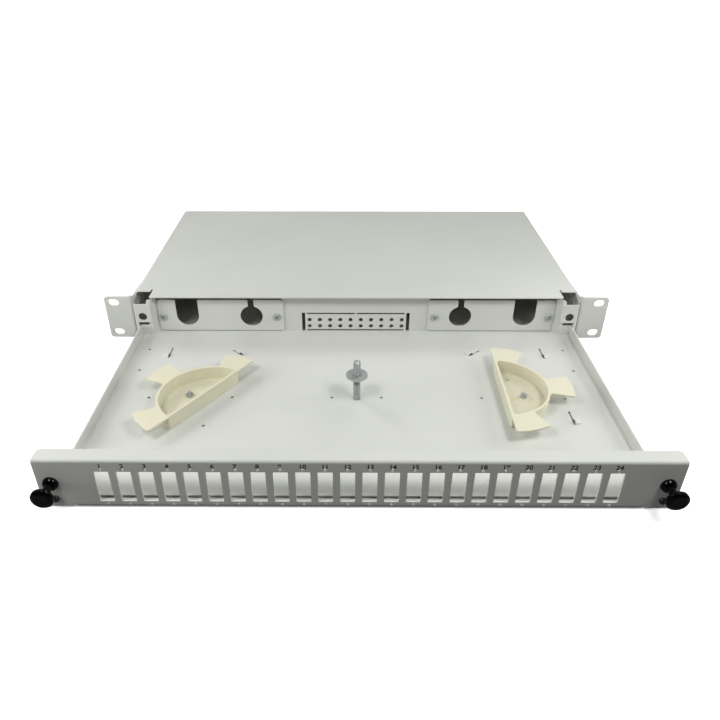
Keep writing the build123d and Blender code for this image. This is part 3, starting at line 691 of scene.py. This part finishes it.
# %% Floor
FLOOR_SIZE = 12.0
FLOOR_GAP = 0.05 * MM
floor_mesh = bpy.data.meshes.new("studio_floor")
half = FLOOR_SIZE / 2
floor_z = cad_box[0][2] - FLOOR_GAP
corners = [(x * half, y * half, floor_z) for x, y in ((-1, -1), (1, -1), (1, 1), (-1, 1))]
floor_mesh.from_pydata(corners, [], [(0, 1, 2, 3)])
floor = bpy.data.objects.new("studio_floor", floor_mesh)
scene.collection.objects.link(floor)
floor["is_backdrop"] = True

FOOTPRINT_INSET = 2 * MM
cover_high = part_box("top_cover")[1]
footprint_x = cover_high.x - FOOTPRINT_INSET
footprint_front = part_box("front_panel")[0].y
footprint_middle = (cover_high.y + footprint_front) / 2
footprint_y = (cover_high.y - footprint_front) / 2

paper = Finish("pale_floor", Roughness=0.9, Specular_IOR_Level=0.1)


def paper_maths(operation, *values):
    """A maths node of the paper, fed with numbers or outputs."""
    node = paper.add("ShaderNodeMath", operation=operation)
    for socket, value in zip(node.inputs, values):
        if isinstance(value, bpy.types.NodeSocket):
            paper.join(value, socket)
        else:
            socket.default_value = value
    return node.outputs[0]


EDGE_GLOW, NEAR_GLOW, FULL_GLOW = 0.40, 0.75, 1.10
FOOTPRINT_EDGE, NEAR_REACH, FAR_REACH = 3 * MM, 60 * MM, 400 * MM
place = paper.add("ShaderNodeSeparateXYZ")
paper.join(paper.place, place.inputs[0])
beside = paper_maths("SUBTRACT", paper_maths("ABSOLUTE", place.outputs["X"]), footprint_x)
along = paper_maths("ABSOLUTE", paper_maths("SUBTRACT", place.outputs["Y"], footprint_middle))
distance = paper_maths("MAXIMUM", beside, paper_maths("SUBTRACT", along, footprint_y))
outside = paper.between(distance, 0.0, 1.0, -FOOTPRINT_EDGE, 0.0)
near_glow = paper.between(distance, EDGE_GLOW, NEAR_GLOW, 0.0, NEAR_REACH)
far_glow = paper.between(distance, 0.0, FULL_GLOW - NEAR_GLOW, NEAR_REACH, FAR_REACH)

camera_ray = paper.add("ShaderNodeLightPath").outputs["Is Camera Ray"]
seen_outside = paper_maths("MULTIPLY", camera_ray, outside)
tone = paper.add("ShaderNodeMix", data_type="RGBA")
DULL_TO_LAMPS, PALE_TO_CAMERA = 0.15, 0.93
tone.inputs["A"].default_value = (DULL_TO_LAMPS, DULL_TO_LAMPS, DULL_TO_LAMPS, 1)
tone.inputs["B"].default_value = (PALE_TO_CAMERA, PALE_TO_CAMERA, PALE_TO_CAMERA, 1)
paper.join(camera_ray, tone.inputs["Factor"])
paper.shader.inputs["Emission Color"].default_value = (1, 1, 1, 1)
glow = paper_maths("MULTIPLY", seen_outside, paper_maths("ADD", near_glow, far_glow))
paper.join(glow, paper.shader.inputs["Emission Strength"])
floor_mesh.materials.append(paper.finish(colour=tone.outputs["Result"]))

# %% [markdown]
# ## Light
# The shadows and tones tell what lit the part. The washer on the tall stud throws two blurred shadows
# backwards, left and right, so two keys stand in front of the stud about 50 degrees up. They are near:
# the front panel is almost edge on to them and stays dark, while the drawer's back wall is bright. Pale
# side walls do the rest, as in a light tent; the metal doesn't mirror them, for the photographed stud
# has no bright edges. The lamps' powers were found by rendering the part once for each lamp and
# solving for the mix that gives the tones of the photograph.

# %% Lamps
STUD = Vector((0.0, -0.11, 0.0))
KEYS = (
    ("key_left", (-0.256, -0.369, 0.478), 0.17, 1.38),
    ("key_right", (0.306, -0.335, 0.478), 0.17, 1.68),
)
WALL_X = 0.45
WALLS = (
    ("wall_left_front", -WALL_X, -0.28, 0.14, (0.22, 0.28), 0.66),
    ("wall_left", -WALL_X, -0.06, 0.14, (0.22, 0.28), 0.90),
    ("wall_left_back", -WALL_X, 0.33, 0.42, (0.32, 0.28), 2.50),
    ("wall_right", WALL_X, -0.06, 0.14, (0.22, 0.28), 1.30),
    ("wall_right_back", WALL_X, 0.38, 0.42, (0.22, 0.28), 0.85),
)


def soft_box(name, place, aim, size, power, mirrored=True):
    """A rectangular area lamp aimed at a point. Shiny surfaces show it only if it is mirrored."""
    lamp = bpy.data.lights.new(name, "AREA")
    lamp.shape = "RECTANGLE"
    lamp.size, lamp.size_y = size
    lamp.energy = power
    box = bpy.data.objects.new(name, lamp)
    box.location = place
    box.rotation_euler = (Vector(aim) - Vector(place)).to_track_quat("-Z", "Y").to_euler()
    box.visible_camera = False
    box.visible_glossy = mirrored
    scene.collection.objects.link(box)
    print(name, "gives", power, "W")


for name, place, size, power in KEYS:
    soft_box(name, place, STUD, (size, size), power)
for name, x, y, z, size, power in WALLS:
    soft_box(name, (x, y, z), (0, y, z), size, power, mirrored=False)
soft_box("overhead_back", (0.25, 0.50, 0.62), (0.25, 0.50, 0), (0.3, 0.25), 0.85)

# %% [markdown]
# ## World
# The camera sees white. Shiny surfaces see a pale sweep behind the part and darkness in front of it,
# where the camera stood: that is why the black knobs stay black. Dull surfaces get nothing from it.

# %% World
BEHIND_LEVEL = 0.30
BEFORE_LEVEL = 0.04
SWEEP_START, SWEEP_END = -0.25, 0.35
world = bpy.data.worlds.new("studio")
scene.world = world
world.use_nodes = True
sky = world.node_tree
background = sky.nodes["Background"]
background.inputs["Color"].default_value = (1, 1, 1, 1)
world_ray = sky.nodes.new("ShaderNodeLightPath")
direction = sky.nodes.new("ShaderNodeSeparateXYZ")
sky.links.new(sky.nodes.new("ShaderNodeTexCoord").outputs["Generated"], direction.inputs[0])
sweep = sky.nodes.new("ShaderNodeMapRange")
sweep_sockets = ("From Min", "From Max", "To Min", "To Max")
for socket, value in zip(sweep_sockets, (SWEEP_START, SWEEP_END, BEFORE_LEVEL, BEHIND_LEVEL)):
    sweep.inputs[socket].default_value = value
sky.links.new(direction.outputs["Y"], sweep.inputs["Value"])
shiny = sky.nodes.new("ShaderNodeMath")
shiny.operation = "MULTIPLY"
sky.links.new(world_ray.outputs["Is Glossy Ray"], shiny.inputs[0])
sky.links.new(sweep.outputs["Result"], shiny.inputs[1])
level = sky.nodes.new("ShaderNodeMath")
level.operation = "MAXIMUM"
sky.links.new(world_ray.outputs["Is Camera Ray"], level.inputs[0])
sky.links.new(shiny.outputs[0], level.inputs[1])
sky.links.new(level.outputs[0], background.inputs["Strength"])
scene.view_settings.view_transform = "Standard"
print("world has", len(sky.nodes), "nodes")

# %% [markdown]
# ## Camera
# The camera was worked out from the object itself: the rack slots, the corners of the sleeve and panel
# and the row of cut-outs have known places, and one camera puts them all where they are seen. It
# stands close, about 64 cm away and 32 degrees above, so the panel looks wider than the sleeve.

# %% Camera
IMAGE = 720
FOCAL_PIXELS = 652.7
CENTRE = (345.0, 360.0)
PITCH, YAW, ROLL = 32.480, -0.344, -0.042
CAMERA_PLACE = (-7.19 * MM, -558.04 * MM, 305.39 * MM)
camera_data = bpy.data.cameras.new("camera")
camera_data.sensor_width = 36.0
camera_data.lens = FOCAL_PIXELS / IMAGE * camera_data.sensor_width
camera_data.shift_x = (IMAGE / 2 - CENTRE[0]) / IMAGE
camera_data.shift_y = (CENTRE[1] - IMAGE / 2) / IMAGE
camera_data.clip_start = 10 * MM
camera = bpy.data.objects.new("camera", camera_data)
pitch, yaw, roll = (math.radians(angle) for angle in (PITCH, YAW, ROLL))
ahead = Vector((math.sin(yaw) * math.cos(pitch), math.cos(yaw) * math.cos(pitch), -math.sin(pitch)))
level_right = Vector((math.cos(yaw), -math.sin(yaw), 0))
level_up = level_right.cross(ahead)
right = math.cos(roll) * level_right + math.sin(roll) * level_up
up = math.cos(roll) * level_up - math.sin(roll) * level_right
turn_matrix = Matrix((right, up, -ahead)).transposed().to_4x4()
camera.matrix_world = Matrix.Translation(CAMERA_PLACE) @ turn_matrix
scene.collection.objects.link(camera)
scene.camera = camera
print("lens:", round(camera_data.lens, 2))
print("shift:", round(camera_data.shift_x, 3), round(camera_data.shift_y, 3))

# %% [markdown]
# ## Tidy up
# The patterns have done their work and go. The sizes before and after are printed, to show by how much the
# dressing has grown the object beyond its CAD box.

# %% Tidy up and finish
for pattern in (ear_screw, base_screw, plate_screw, panel_screw):
    bpy.data.objects.remove(pattern)
seen_box = [list(corner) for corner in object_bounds()]
before_after = zip(cad_box[0] + cad_box[1], seen_box[0] + seen_box[1])
print("grown by mm:", [round((after - before) / MM, 2) for before, after in before_after])
